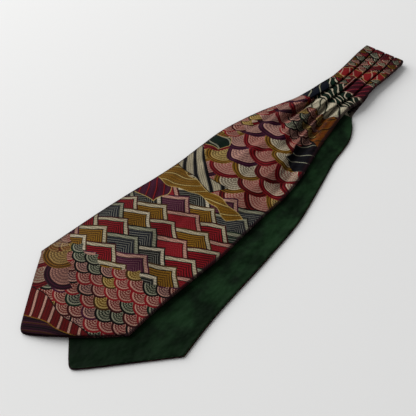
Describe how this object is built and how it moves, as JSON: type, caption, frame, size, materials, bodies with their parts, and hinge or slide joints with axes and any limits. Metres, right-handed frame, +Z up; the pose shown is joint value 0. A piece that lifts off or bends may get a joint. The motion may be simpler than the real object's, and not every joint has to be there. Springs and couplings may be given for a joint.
{
  "type": "silk cravat",
  "caption": "Day cravat of printed silk with a plain satin lining: two pointed blades on a pleated neckband, folded once across the band and laid flat, blades splayed.",
  "frame": {"origin": "middle of the bounding box, on the surface that the cravat lies on", "axes": "+X from the points of the blades towards the fold of the neckband, +Y to the left of that, +Z up"},
  "size_m": [0.5836, 0.1806, 0.0141],
  "materials": {
    "printed_silk": "satin",
    "lining_satin": "satin"
  },
  "bodies": {
    "root": {"shell_upper": "printed_silk", "shell_under": "printed_silk", "lining_upper": "lining_satin", "lining_under": "lining_satin"}
  },
  "joints": []
}
